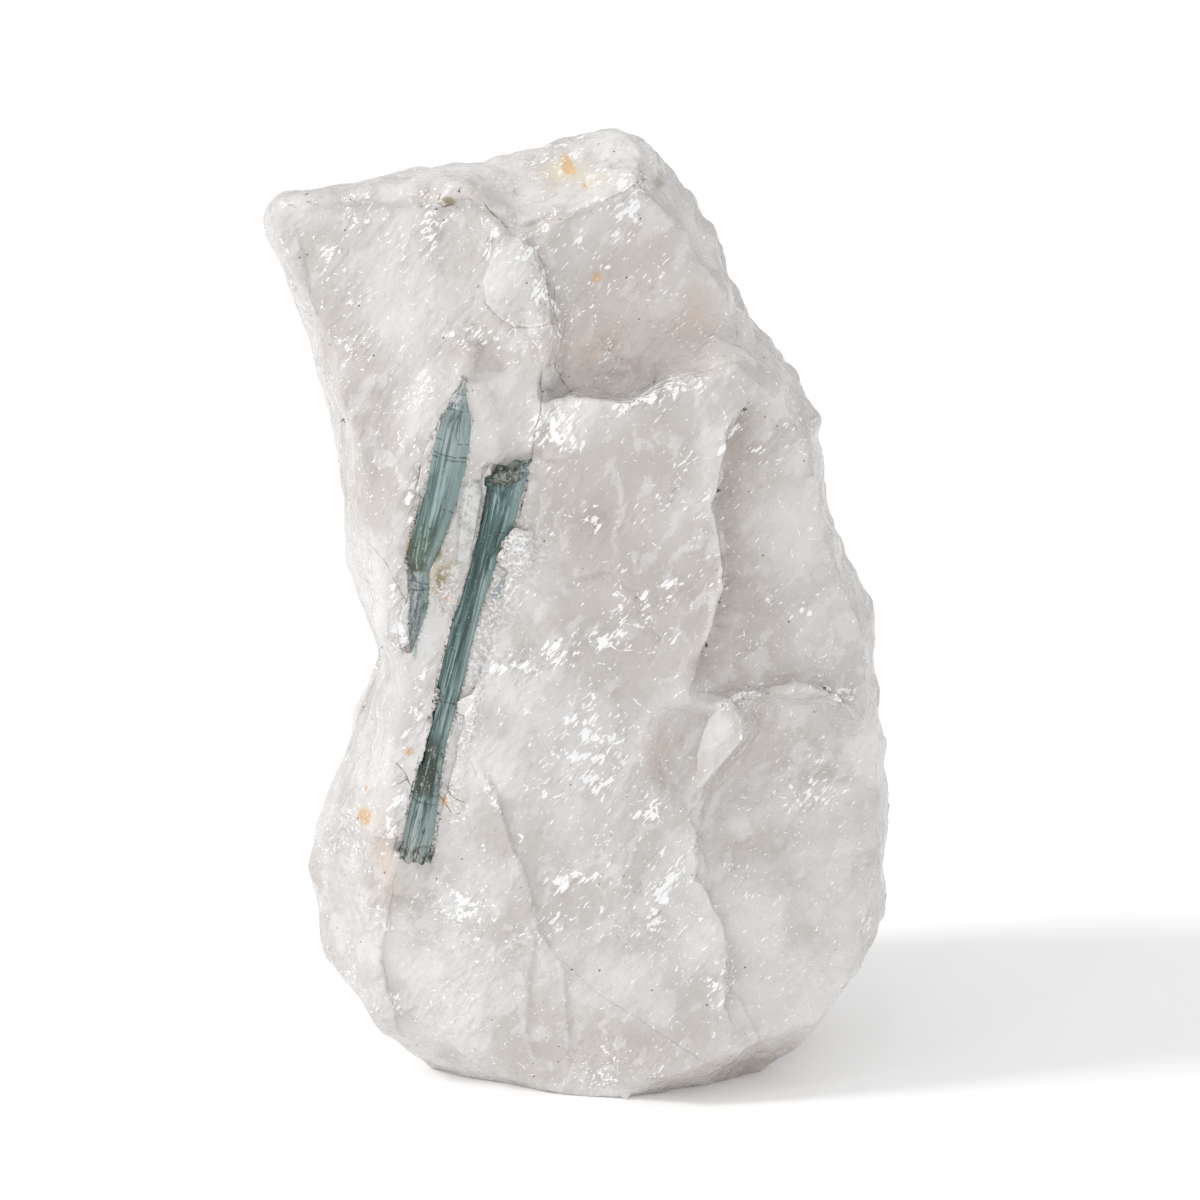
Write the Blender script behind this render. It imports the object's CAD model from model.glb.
"""The looks of a block of milky quartz with two aquamarine crystals in its front face.

Metres, +Z up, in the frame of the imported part. Places on the front face are given as the camera sees
them, in the pixels of a picture 1200 wide and 1200 high, with x to the right and y downwards.
"""

import math

import bmesh
import bpy
import numpy as np
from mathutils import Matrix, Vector, noise


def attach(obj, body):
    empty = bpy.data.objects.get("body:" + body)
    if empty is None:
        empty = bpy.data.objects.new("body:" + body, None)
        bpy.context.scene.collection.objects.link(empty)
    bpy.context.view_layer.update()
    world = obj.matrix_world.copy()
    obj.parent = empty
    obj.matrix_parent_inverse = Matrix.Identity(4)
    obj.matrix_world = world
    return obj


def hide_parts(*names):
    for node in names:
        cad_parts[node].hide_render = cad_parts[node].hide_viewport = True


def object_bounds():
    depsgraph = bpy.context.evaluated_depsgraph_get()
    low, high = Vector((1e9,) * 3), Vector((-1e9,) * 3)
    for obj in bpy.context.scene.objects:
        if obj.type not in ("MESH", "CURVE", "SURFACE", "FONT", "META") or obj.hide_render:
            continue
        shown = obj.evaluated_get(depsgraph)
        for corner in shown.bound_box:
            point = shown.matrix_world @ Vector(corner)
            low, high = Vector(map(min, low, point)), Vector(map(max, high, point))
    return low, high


MM = 0.001

# The camera looks at the front from a little above.
PICTURE = 1200.0
CAMERA_TARGET = Vector((0.0022, -0.0111, 0.0822))
CAMERA_ELEVATION = math.radians(14.0)
CAMERA_DISTANCE = 0.56
CAMERA_LENS = 100.0
CAMERA_SENSOR = 36.0

# The longest edge that the quartz is drawn with: in front, beside ledges and crystals, and elsewhere.
FRONT_EDGE = 1.1 * MM
LEDGE_EDGE = 0.5 * MM
OTHER_EDGE = 2.0 * MM


def camera_axes():
    """Where the camera stands, and its directions to the right, upwards and forwards."""
    back = Vector((0.0, -math.cos(CAMERA_ELEVATION), math.sin(CAMERA_ELEVATION)))
    forward = -back
    right = Vector((1.0, 0.0, 0.0))
    return CAMERA_TARGET + back * CAMERA_DISTANCE, right, right.cross(forward), forward


def in_picture(points):
    """Where points of the frame are seen in the picture, as two arrays of pixels."""
    place, right, upward, forward = (np.array(vector) for vector in camera_axes())
    from_camera = points - place
    depth = from_camera @ forward
    scale = PICTURE * CAMERA_LENS / CAMERA_SENSOR / depth
    return PICTURE / 2 + from_camera @ right * scale, PICTURE / 2 - from_camera @ upward * scale


def put_in_scene(name, data):
    """A new object with this mesh, lens or lamp, at the origin."""
    made = bpy.data.objects.new(name, data)
    bpy.context.scene.collection.objects.link(made)
    return made


def mesh_from(bm, name):
    mesh = bpy.data.meshes.new(name)
    bm.to_mesh(mesh)
    bm.free()
    return mesh


def make_camera():
    data = bpy.data.cameras.new("camera")
    data.lens = CAMERA_LENS
    data.sensor_width = CAMERA_SENSOR
    camera = put_in_scene("camera", data)
    place, _, _, forward = camera_axes()
    camera.location = place
    camera.rotation_euler = forward.to_track_quat("-Z", "Y").to_euler()
    bpy.context.scene.camera = camera


LIGHTS_AIM = Vector((0.0, 0.0, 0.08))
# Azimuth and elevation of the soft key light, and of the small lights that make the glints.
KEY_LIGHT = (-78.0, 38.0)
GLINT_LIGHTS = ((-15.0, 26.0), (-38.0, 48.0), (22.0, 42.0), (-4.0, 66.0))
ROOM_STRENGTH = 0.75


def make_light(name, kind, azimuth, elevation, distance, energy, size):
    """A light that stands round the block at an azimuth, where 0 is the camera's side."""
    data = bpy.data.lights.new(name, kind)
    data.energy = energy
    if kind == "SUN":
        data.angle = size
    else:
        data.shape = "DISK"
        data.size = size
    lamp = put_in_scene(name, data)
    turn = math.radians(azimuth)
    rise = math.radians(elevation)
    away = Vector((math.sin(turn) * math.cos(rise), -math.cos(turn) * math.cos(rise), math.sin(rise)))
    lamp.location = LIGHTS_AIM + away * distance
    lamp.rotation_euler = (-away).to_track_quat("-Z", "Y").to_euler()


def make_lights():
    """A bright even room, a soft key light from the left and four small lights for the glints."""
    world = bpy.data.worlds.new("studio")
    world.use_nodes = True
    room = world.node_tree.nodes["Background"]
    room.inputs["Color"].default_value = (1.0, 1.0, 1.0, 1.0)
    room.inputs["Strength"].default_value = ROOM_STRENGTH
    bpy.context.scene.world = world
    bpy.context.scene.view_settings.view_transform = "Standard"
    make_light("key", "SUN", *KEY_LIGHT, 1.0, 1.35, math.radians(12.0))
    for number, place in enumerate(GLINT_LIGHTS):
        make_light(f"glints_{number}", "AREA", *place, 0.9, 0.16, 0.045)


def make_floor():
    bm = bmesh.new()
    bmesh.ops.create_grid(bm, x_segments=1, y_segments=1, size=30.0)
    floor = put_in_scene("floor", mesh_from(bm, "floor"))
    material, tree, shader = new_material("white_paper")
    fill_sockets(tree, shader, {"Base Color": (0.97, 0.97, 0.97, 1.0), "Roughness": 0.9,
                                "Specular IOR Level": 0.0, "Emission Color": (1.0, 1.0, 1.0, 1.0),
                                "Emission Strength": 0.085})
    floor.data.materials.append(material)


def ride_as(obj, node):
    """The piece moves with the part, stands for a node if one is named, and has a slot's finish."""
    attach(obj, "root")
    if node:
        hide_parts(node)


def vertex_values(mesh, what):
    """The places ("co") or the normals ("normal") of a mesh's vertices, as rows of three."""
    values = np.zeros(len(mesh.vertices) * 3)
    mesh.vertices.foreach_get(what, values)
    return values.reshape(-1, 3)


def smooth_noise(points, wavelength, seed):
    """A smooth random number between about -1 and 1 for each point; wavelength in millimetres."""
    shift = Vector((seed * 7.3, seed * 3.1, seed * 5.9))
    scale = 1.0 / (wavelength * MM)
    return np.array([noise.noise(Vector(p) * scale + shift) for p in points.tolist()])


def chip_field(points, size, seed):
    """Shell-shaped chips: 0 at the middle of each, rising to about 1 at the edges between them."""
    shift = Vector((seed * 4.7, seed * 8.1, seed * 2.3))
    scale = 1.0 / (size * MM)
    squares = [noise.voronoi(Vector(p) * scale + shift, distance_metric="DISTANCE_SQUARED")[0][0]
               for p in points.tolist()]
    return np.minimum(np.array(squares) * 1.6, 1.3)


def soften(bm, verts, factor):
    bmesh.ops.smooth_vert(bm, verts=verts, factor=factor, use_axis_x=True, use_axis_y=True,
                          use_axis_z=True)


def finer(bm, longest, chosen, rounding=0.12):
    """Halve the chosen edges that are longer than this, three times at most."""
    for _ in range(3):
        bm.normal_update()
        bm.edges.ensure_lookup_table()
        long_edges = [edge for edge in bm.edges if edge.calc_length() > longest]
        if not long_edges:
            return
        middles = np.array([(edge.verts[0].co + edge.verts[1].co) / 2 for edge in long_edges])
        normals = np.array([edge.verts[0].normal for edge in long_edges])
        edges = [edge for edge, wanted in zip(long_edges, chosen(middles, normals)) if wanted]
        if not edges:
            return
        bmesh.ops.subdivide_edges(bm, edges=edges, cuts=1, use_grid_fill=True)
        bmesh.ops.triangulate(bm, faces=[face for face in bm.faces if len(face.verts) > 3])
        drop_folds(bm)
        if rounding:
            soften(bm, [vert for vert in bm.verts if vert.co.z > 1.5 * MM], rounding)


def drop_folds(bm):
    """Take out folds of no thickness: triangles in pairs that have the same three corners."""
    alike = {}
    for face in bm.faces:
        alike.setdefault(frozenset(face.verts), []).append(face)
    folds = [face for faces in alike.values() if len(faces) > 1 for face in faces[len(faces) % 2:]]
    bmesh.ops.delete(bm, geom=folds, context="FACES")


def laid_over(base, extra):
    """Two coverings of 0 to 1, one over the other."""
    return 1.0 - (1.0 - base) * (1.0 - extra)


def smooth_step(low, high, value):
    share = np.clip((value - low) / (high - low), 0.0, 1.0)
    return share * share * (3.0 - 2.0 * share)


def fading_ends(share, reach):
    """1 along a line and 0 at its ends, fading over this share of its length."""
    return smooth_step(0.0, reach, share) * smooth_step(1.0, 1.0 - reach, share)


def spots(across, down, table):
    """Soft oval spots in the picture: middle, half width, half height, turn in degrees, strength."""
    cover = np.zeros(across.shape)
    for x, y, half_width, half_height, turn, strength in table:
        turn = math.radians(turn)
        right = (across - x) * math.cos(turn) + (down - y) * math.sin(turn)
        below = (down - y) * math.cos(turn) - (across - x) * math.sin(turn)
        inner = (right / half_width) ** 2 + (below / half_height) ** 2
        cover = laid_over(cover, strength * np.exp(-inner))
    return cover


def on_segment(across, down, start, end):
    """The share of a segment that is nearest to each point of the picture, and the step to it."""
    (ax, ay), (bx, by) = start, end
    share = ((across - ax) * (bx - ax) + (down - ay) * (by - ay)) / ((bx - ax) ** 2 + (by - ay) ** 2)
    share = np.clip(share, 0.0, 1.0)
    return share, np.array((ax + share * (bx - ax) - across, ay + share * (by - ay) - down))


def distance_to_line(across, down, line):
    """Signed distance in pixels to an open line, above zero on its right side, the plain distance,
    the share of its length where each point lies, and the step from the point to the line."""
    nearest = np.full(across.shape, 1e6)
    signed = np.full(across.shape, 1e6)
    share = np.zeros(across.shape)
    towards = np.zeros((2,) + across.shape)
    for number, (start, end) in enumerate(zip(line, line[1:])):
        held, step = on_segment(across, down, start, end)
        away = np.hypot(*step)
        side = (end[0] - start[0]) * (down - start[1]) - (end[1] - start[1]) * (across - start[0])
        closer = away < nearest
        nearest = np.where(closer, away, nearest)
        signed = np.where(closer, np.copysign(away, side), signed)
        share = np.where(closer, (number + held) / (len(line) - 1), share)
        towards = np.where(closer, step, towards)
    return signed, nearest, share, towards


def distance_inside(across, down, outline):
    """How far inside a closed outline each point of the picture lies, and below zero outside it."""
    nearest = np.full(across.shape, 1e6)
    inside = np.zeros(across.shape, bool)
    for start, end in zip(outline, outline[1:] + outline[:1]):
        nearest = np.minimum(nearest, np.hypot(*on_segment(across, down, start, end)[1]))
        (ax, ay), (bx, by) = start, end
        if ay != by:
            crosses = (ay > down) != (by > down)
            inside ^= crosses & (across < (bx - ax) * (down - ay) / (by - ay) + ax)
    return np.where(inside, nearest, -nearest)


def store(mesh, name, values):
    """Keep a number or a vector on each vertex, for the materials."""
    single = values.ndim == 1
    attribute = mesh.attributes.new(name, "FLOAT" if single else "FLOAT_VECTOR", "POINT")
    attribute.data.foreach_set("value" if single else "vector", values.astype(np.float32).ravel())


# Raised patches of the front face: outline, height in millimetres, width of the edge in pixels.
RAISED = {
    "flake": (
        ((505, 236), (519, 238), (528, 247), (536, 262), (543, 276), (548, 292), (549, 303), (551, 318),
         (546, 325), (520, 326), (502, 320), (488, 304), (484, 280), (492, 252)),
        0.28, 6.0,
    ),
    "flake_lobe": (
        ((532, 325), (552, 322), (559, 331), (561, 342), (557, 354), (551, 363), (544, 366), (540, 360),
         (536, 346), (527, 334)),
        0.6, 4.0,
    ),
}

# Broken ledges: a line, the side of it that stands higher (1 for the right, seen along the line),
# the height of the step in millimetres, how far it is felt in pixels, and the shade below it.
LEDGES = {
    "left_ridge": (
        ((470, 740), (490, 780), (505, 820), (520, 860), (535, 900), (545, 940), (555, 955)),
        1, 0.7, 26.0, 0.10,
    ),
    "top_band": (
        ((285, 213), (340, 207), (400, 201), (440, 204), (470, 198), (500, 215), (520, 226), (545, 216),
         (600, 206), (622, 195), (652, 166)),
        -1, 0.8, 14.0, 0.25,
    ),
    "knob": (((604, 166), (625, 158), (648, 160), (660, 172)), -1, 0.5, 10.0, 0.15),
    "left_face": (
        ((292, 216), (303, 260), (320, 330), (338, 420), (346, 500), (352, 540)),
        1, 0.3, 12.0, 0.25,
    ),
    "left_low_ridge": (
        ((400, 868), (388, 920), (383, 960), (390, 1000), (405, 1050)),
        1, 0.6, 16.0, 0.18,
    ),
    "low_left": (((388, 998), (430, 1030), (480, 1065), (540, 1095)), -1, 0.6, 18.0, 0.15),
    "low_middle": (((536, 925), (532, 970), (528, 1020), (540, 1070)), 1, 0.4, 18.0, 0.12),
    "bottom_right": (((730, 985), (760, 1040), (720, 1068)), 1, 0.4, 20.0, 0.2),
    "upper_rim": (
        ((544, 402), (560, 399), (573, 396), (600, 403), (628, 404), (645, 398), (658, 387), (690, 375),
         (745, 385)),
        1, 0.5, 18.0, 0.25,
    ),
    "curved_ridge": (
        ((768, 386), (754, 402), (738, 415), (728, 430), (722, 462), (719, 486), (711, 503), (716, 520),
         (721, 548), (723, 572), (721, 595), (714, 623), (705, 643), (695, 663), (684, 682)),
        1, 0.5, 34.0, 0.70,
    ),
    "hook": (
        ((688, 690), (735, 695), (745, 715), (742, 740), (725, 760), (700, 790), (688, 800)),
        1, 1.2, 18.0, 0.5,
    ),
    "hook_inner": (((728, 700), (712, 715), (700, 740), (690, 790)), -1, 0.6, 12.0, 0.3),
    "right_saddle": (((700, 690), (750, 688), (790, 682), (830, 690), (868, 700)), 1, 0.6, 16.0, 0.2),
    "lower_rim": (
        ((690, 800), (695, 830), (700, 860), (695, 880), (715, 910), (730, 950), (730, 985),
         (722, 1010), (735, 1030)),
        1, 0.9, 24.0, 0.5,
    ),
    "plateau_facet": (((530, 455), (548, 420), (553, 402)), -1, 0.6, 20.0, 0.2),
    "facet_foot": (((527, 456), (560, 462), (590, 452), (612, 440)), -1, 0.5, 14.0, 0.0),
    "small_left_ridge": (((340, 520), (360, 560), (400, 590), (410, 640)), 1, 0.5, 16.0, 0.2),
    "foot_crease": (((565, 950), (566, 1000), (568, 1080)), 1, 0.5, 24.0, 0.25),
    "flake_right": (
        ((520, 228), (535, 250), (545, 275), (550, 305), (555, 322), (560, 338), (557, 356)),
        1, 0.9, 12.0, 0.35,
    ),
    "hollow_facet": (((590, 330), (625, 362), (665, 395)), 1, 0.5, 18.0, 0.2),
    "middle_dip": (((560, 585), (600, 572), (640, 590), (660, 640), (640, 690)), -1, 0.5, 22.0, 0.2),
}
LEDGE_NEAR = 6.0  # how close to a ledge or a crack the quartz is drawn finely, in pixels

# Walls below a ledge that hardly show from the front: how wide they are in the solid, in pixels, and
# the share of that width which is drawn in under the ledge.
TUCKED = {"curved_ridge": (26.0, 0.8), "upper_rim": (20.0, 0.6)}
PIXEL = 0.159 * MM  # the size of a picture's pixel on the front face

# Cracks, the brown roots among them: a line, and how strongly it shows.
CRACKS = {
    "flake_foot": (((481, 296), (495, 315), (512, 327), (535, 328), (555, 322)), 0.5),
    "below_flake": (((541, 368), (542, 400), (536, 430), (530, 460)), 0.7),
    "beside_flake": (((554, 362), (562, 380), (573, 396)), 0.8),
    "top": (((484, 203), (495, 216), (505, 226), (520, 230)), 0.9),
    "pit": (((436, 202), (444, 207), (455, 203), (459, 197)), 1.0),
    "lower": (((545, 940), (555, 955), (600, 995), (640, 1020), (700, 1060), (720, 1068)), 0.25),
    "left_low": (((397, 868), (388, 920), (383, 960), (390, 1000)), 0.3),
    "lower_mid": (((470, 745), (490, 785), (510, 830), (540, 935)), 0.1),
    "root_right": (((436, 782), (447, 790), (452, 797), (466, 803)), 0.8),
    "root_right_low": (((438, 793), (446, 803), (451, 815), (462, 812)), 0.8),
    "root_right_top": (((441, 780), (447, 788), (452, 784)), 0.8),
    "root_far_right": (((478, 778), (472, 764), (458, 746)), 0.3),
    "root_left": (((394, 762), (404, 772), (412, 789)), 0.8),
    "root_left_low": (((397, 785), (406, 779), (413, 788)), 0.8),
    "left_seam": (((389, 600), (386, 676), (376, 723), (368, 762), (365, 801)), 0.2),
    "left_lobe": (((366, 540), (386, 561), (400, 590), (407, 605)), 0.5),
    "brown_dots": (((446, 330), (466, 322), (478, 306), (480, 290)), 0.25),
}

# Stains, clouds, and where the quartz is glassy or grainy: soft oval spots in the picture, each with
# its middle, half width, half height, turn in degrees and strength.
STAINS = {
    "rust": ((567, 161, 6, 14, -25, 1.4), (572, 171, 8, 5, 30, 1.1), (592, 183, 4, 5, 0, 1.0),
             (364, 816, 9, 14, 0, 1.2), (409, 752, 7, 6, 30, 0.8), (442, 799, 5, 8, 0, 1.0),
             (598, 280, 6, 5, 0, 1.2), (494, 557, 4, 4, 0, 1.3), (404, 548, 3, 9, 10, 1.3),
             (405, 562, 4, 4, 0, 1.3), (453, 600, 4, 8, 0, 0.9), (365, 787, 3, 3, 0, 1.0)),
    "ochre": ((562, 172, 34, 22, -10, 0.75), (600, 180, 24, 14, 0, 0.65), (740, 345, 30, 20, 20, 0.4),
              (430, 200, 18, 8, 0, 0.5), (415, 560, 10, 30, 10, 0.6), (438, 575, 12, 24, 0, 1.0),
              (455, 800, 14, 14, 0, 0.6), (404, 790, 8, 10, 0, 0.5)),
    "peach": ((385, 860, 18, 80, -8, 0.9), (600, 350, 60, 50, 0, 0.8), (640, 260, 60, 60, 0, 0.5),
              (700, 320, 40, 40, 0, 0.7), (665, 750, 24, 50, 10, 0.6), (760, 740, 50, 50, 0, 0.4),
              (470, 190, 120, 18, -6, 0.5), (440, 300, 60, 50, 0, 0.3)),
    "shade": ((664, 180, 7, 15, 30, 0.9), (585, 380, 30, 22, 0, 0.1), (700, 350, 30, 20, 0, 0.2),
              (735, 490, 22, 70, 0, 0.45), (700, 668, 20, 14, 0, 0.5), (590, 520, 60, 40, 0, 0.35),
              (640, 620, 60, 70, 0, 0.25), (665, 750, 22, 50, 10, 0.3), (560, 440, 40, 40, 0, 0.2)),
    "warm": ((585, 520, 60, 60, 0, 0.8), (650, 460, 60, 46, 0, 0.7), (650, 560, 50, 70, 0, 0.5),
             (620, 265, 60, 60, 0, 0.5), (690, 320, 40, 40, 0, 0.4), (600, 360, 50, 40, 0, 0.45),
             (620, 860, 50, 60, 0, 0.4), (640, 1045, 90, 34, 0, 0.8), (760, 760, 60, 90, 0, 0.3),
             (700, 590, 20, 60, 0, 0.8), (480, 340, 50, 30, 0, 0.5), (600, 690, 70, 50, 0, 0.3),
             (520, 1000, 40, 60, 0, 0.2), (745, 600, 40, 40, 0, 0.5), (360, 430, 50, 90, 0, 0.5),
             (340, 330, 30, 60, 0, 0.3)),
    "milk": ((600, 372, 26, 16, 0, 0.35), (735, 345, 24, 20, 0, 0.6), (690, 235, 14, 24, 20, 0.5),
             (830, 740, 24, 24, 0, 0.4), (575, 770, 28, 34, 20, 0.8), (418, 720, 8, 30, 12, 0.8),
             (465, 695, 12, 45, 0, 0.9), (575, 428, 22, 25, 0, 0.8), (800, 990, 60, 60, 0, 0.7),
             (345, 940, 40, 80, 0, 0.4), (310, 210, 40, 20, 0, 0.6), (800, 560, 60, 40, 20, 0.5),
             (517, 548, 18, 24, 0, 0.9), (705, 440, 14, 60, 0, 0.6), (372, 560, 22, 40, -30, 0.9),
             (460, 775, 10, 16, 0, 0.6)),
    "glassy": ((430, 225, 12, 34, 0, 0.8), (330, 255, 12, 15, 0, 0.7), (495, 240, 8, 16, 20, 1.0),
               (540, 275, 10, 46, -15, 0.8), (628, 215, 10, 52, 27, 1.0), (465, 335, 46, 14, -10, 0.5),
               (350, 300, 16, 14, 0, 0.5), (411, 500, 8, 30, 8, 1.0), (394, 585, 6, 24, 0, 1.0),
               (400, 632, 9, 18, 0, 1.0), (372, 640, 8, 12, 0, 0.7), (555, 432, 20, 24, 0, 1.0),
               (660, 393, 12, 56, 72, 0.9), (725, 435, 7, 20, 30, 0.8), (785, 440, 14, 26, 30, 0.6),
               (665, 490, 10, 40, 30, 0.8), (595, 525, 12, 14, 0, 0.8), (650, 600, 46, 14, -30, 0.8),
               (510, 662, 32, 12, -12, 1.1), (590, 645, 60, 12, -12, 0.7), (467, 720, 6, 50, 0, 0.5),
               (497, 800, 6, 40, -22, 0.5), (590, 750, 52, 52, 0, 0.75), (570, 882, 22, 12, -20, 0.9),
               (665, 895, 7, 44, 28, 1.1), (650, 810, 16, 14, 0, 0.7), (414, 715, 6, 40, 12, 0.9),
               (393, 812, 7, 40, 4, 0.9), (458, 905, 30, 22, 30, 0.9), (352, 830, 14, 46, -10, 0.5),
               (740, 702, 30, 8, -30, 0.7), (840, 692, 18, 12, 20, 0.7), (810, 795, 30, 36, 0, 0.5),
               (712, 985, 18, 22, 0, 0.6), (715, 572, 10, 18, 0, 0.5), (775, 600, 14, 12, 0, 0.6),
               (400, 440, 40, 60, 0, 0.3), (560, 280, 60, 60, 0, 0.3), (500, 560, 30, 60, 0, 0.4),
               (395, 1000, 16, 14, 0, 0.5), (640, 900, 60, 60, 0, 0.3)),
    "olive": ((407, 545, 4, 22, 12, 1.0), (441, 580, 8, 18, 0, 1.2), (432, 552, 6, 14, 0, 1.0),
              (450, 560, 8, 18, 0, 0.6), (446, 202, 9, 5, 0, 1.2), (447, 610, 5, 12, 0, 0.7)),
    "teal": ((415, 650, 3, 16, 5, 0.9), (440, 470, 16, 60, 10, 0.3), (499, 590, 6, 14, 10, 1.0),
             (411, 632, 4, 12, 0, 0.7)),
    "grainy": ((484, 640, 12, 46, 14, 0.8), (466, 730, 9, 50, 12, 0.7), (456, 800, 8, 24, 0, 0.8),
               (517, 550, 22, 27, 0, 1.0), (498, 600, 12, 22, 0, 0.8), (448, 590, 14, 30, 0, 0.7),
               (403, 640, 10, 16, 0, 0.6)),
}

# Broad swellings: spots as under STAINS, with a height in millimetres as their strength.
SWELLS = ((400, 186, 120, 24, -6, 1.3),)

CHIPS = ((8.0, 0.55), (4.0, 0.22), (2.0, 0.07))  # size and depth in millimetres
WAVES = ((4.5, 0.20), (2.0, 0.05))  # wavelength and height in millimetres
RIM_CHIPS = (5.0, 0.7)  # the chips of the right rim
TOP_CHIPS = (4.5, 0.7)

# Rough lumps of the quartz: a spot as under SWELLS, and the size of its grains in millimetres.
LUMPS = (
    ((517, 550, 24, 30, 0, 0.55), 1.6),
    ((474, 515, 14, 36, 10, 0.35), 1.8),
    ((440, 590, 16, 30, 0, 0.30), 1.2),
    ((505, 600, 30, 24, 0, 0.30), 2.0),
    ((525, 665, 40, 26, -20, 0.28), 1.4),
    ((560, 430, 24, 22, 0, 0.20), 1.6),
)


def make_quartz(frame):
    node = frame["nodes"]["quartz_matrix"]
    bm = bmesh.new()
    bm.from_mesh(node.data)
    bmesh.ops.remove_doubles(bm, verts=bm.verts, dist=1e-6)
    bmesh.ops.triangulate(bm, faces=bm.faces)
    finer(bm, OTHER_EDGE, everywhere)
    finer(bm, FRONT_EDGE, in_front)
    tuck_walls(bm)
    finer(bm, LEDGE_EDGE, near_ledges, 0.0)
    mesh = mesh_from(bm, "quartz_block")
    mesh.shade_smooth()
    roughen_quartz(mesh)
    bed_crystals(mesh)
    ease_banks(mesh)
    mark_quartz(mesh)
    mesh.materials.append(quartz_material())
    ride_as(put_in_scene("quartz_block", mesh), "quartz_matrix")


def everywhere(places, normals):
    return np.ones(len(places), bool)


def in_front(places, normals):
    return normals[:, 1] < -0.1


def near_ledges(places, normals):
    """Whether places of the front lie close to a ledge, a crack, a raised patch or a crystal."""
    across, down = in_picture(places)
    near = np.zeros(len(places), bool)
    for line, *_ in list(LEDGES.values()) + list(CRACKS.values()):
        near |= distance_to_line(across, down, line)[1] < LEDGE_NEAR
    for outline, _, _ in RAISED.values():
        near |= np.abs(distance_inside(across, down, outline)) < LEDGE_NEAR
    for prism in BERYL_PRISMS:
        share, sideways, deep, radius = along_prism(places / MM, prism)
        beside = np.abs(sideways) - radius * FRINGE_SIDE
        near |= (np.abs(beside) < 1.0) & (share > -0.03) & (share < 1.03) & (np.abs(deep) < PRISM_DEPTH)
    return near & (normals[:, 1] < -0.2)


def tuck_walls(bm):
    """Draw the walls below some ledges in under them, and spread what lies beyond."""
    places = np.array([vert.co for vert in bm.verts])
    bm.normal_update()
    facing = facing_camera(places, np.array([vert.normal for vert in bm.verts]))
    across, down = in_picture(places)
    for name, (width, share_in) in TUCKED.items():
        line, side = LEDGES[name][:2]
        signed, nearest, share, towards = distance_to_line(across, down, line)
        ends = fading_ends(share, 0.12)
        beyond = width / nearest * smooth_step(3.0 * width, width, nearest)
        drawn = share_in * ends * np.where(nearest < width, 1.0, beyond)
        drawn *= (signed * side < 0) & (facing > 0)
        places[:, 0] += towards[0] * drawn * PIXEL
        places[:, 2] -= towards[1] * drawn * PIXEL
    for vert, place in zip(bm.verts, places.tolist()):
        vert.co = place


def facing_camera(places, normals):
    """1 where the surface looks at the camera, falling to 0 where it turns away from it."""
    towards = np.array(camera_axes()[0]) - places
    towards /= np.linalg.norm(towards, axis=1)[:, None]
    return smooth_step(0.05, 0.3, (normals * towards).sum(1))


def line_stray(places):
    """How far, in pixels, ledges and stains stray from the lines and spots of their tables."""
    return smooth_noise(places, 5.0, 61) * 5.0 + smooth_noise(places, 1.8, 62) * 2.0


def chips_and_waves(places, normals):
    relief = np.zeros(len(places))
    lively = 0.55 + 0.6 * smooth_noise(places, 14.0, 3) + 0.9 * smooth_step(0.3, 0.8, normals[:, 0])
    for seed, (size, depth) in enumerate(CHIPS):
        relief += (chip_field(places, size, seed + 5) - 0.6) * depth * lively
    for seed, (wavelength, height) in enumerate(WAVES):
        relief += smooth_noise(places, wavelength, seed + 15) * height
    size, depth = RIM_CHIPS
    right_rim = smooth_step(0.1, 0.6, normals[:, 0]) * smooth_step(-0.95, -0.3, normals[:, 1])
    relief -= chip_field(places, size, 9) * depth * right_rim
    size, depth = TOP_CHIPS
    top_rim = smooth_step(0.15, 0.5, normals[:, 2]) * smooth_step(0.12, 0.135, places[:, 2])
    return relief + (0.5 - chip_field(places, size, 12)) * depth * top_rim * (normals[:, 1] < 0.3)


def ledge_steps(places, across, down):
    """The steps of the ledges in millimetres, half up on one side and half down on the other."""
    relief = np.zeros(len(places))
    stray = line_stray(places)
    for line, side, height, reach, _ in LEDGES.values():
        signed, nearest, share, _ = distance_to_line(across + stray, down - stray, line)
        ends = fading_ends(share, 0.15)
        step = np.sign(signed * side) * np.exp(-nearest / reach) * smooth_step(-1.0, 1.5, nearest)
        relief += height * 0.5 * step * ends
    return relief


def roughen_quartz(mesh):
    """Move the surface along its normals by the chips, waves, ledges, raised patches and lumps."""
    places = vertex_values(mesh, "co")
    normals = vertex_values(mesh, "normal")
    facing = facing_camera(places, normals)
    across, down = in_picture(places)
    relief = chips_and_waves(places, normals)
    for spot in SWELLS:
        relief += spots(across, down, (spot,))
    for outline, height, edge in RAISED.values():
        inside = np.maximum(distance_inside(across, down, outline), 0.0)
        relief += facing * height * (1.0 - np.exp(-inside / edge))
    relief += facing * ledge_steps(places, across, down)
    for spot, size in LUMPS:
        lumps = smooth_noise(places, size, 71) + 0.6 * smooth_noise(places, size / 2, 72)
        relief += spots(across, down, (spot,)) * facing * lumps
    above = smooth_step(0.0, 3.0 * MM, places[:, 2])
    moved = places + normals * (relief * MM * above)[:, None]
    low, high = (np.array(corner) for corner in cad_box)
    mesh.vertices.foreach_set("co", np.clip(moved, low, high).ravel())
    mesh.update()


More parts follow.
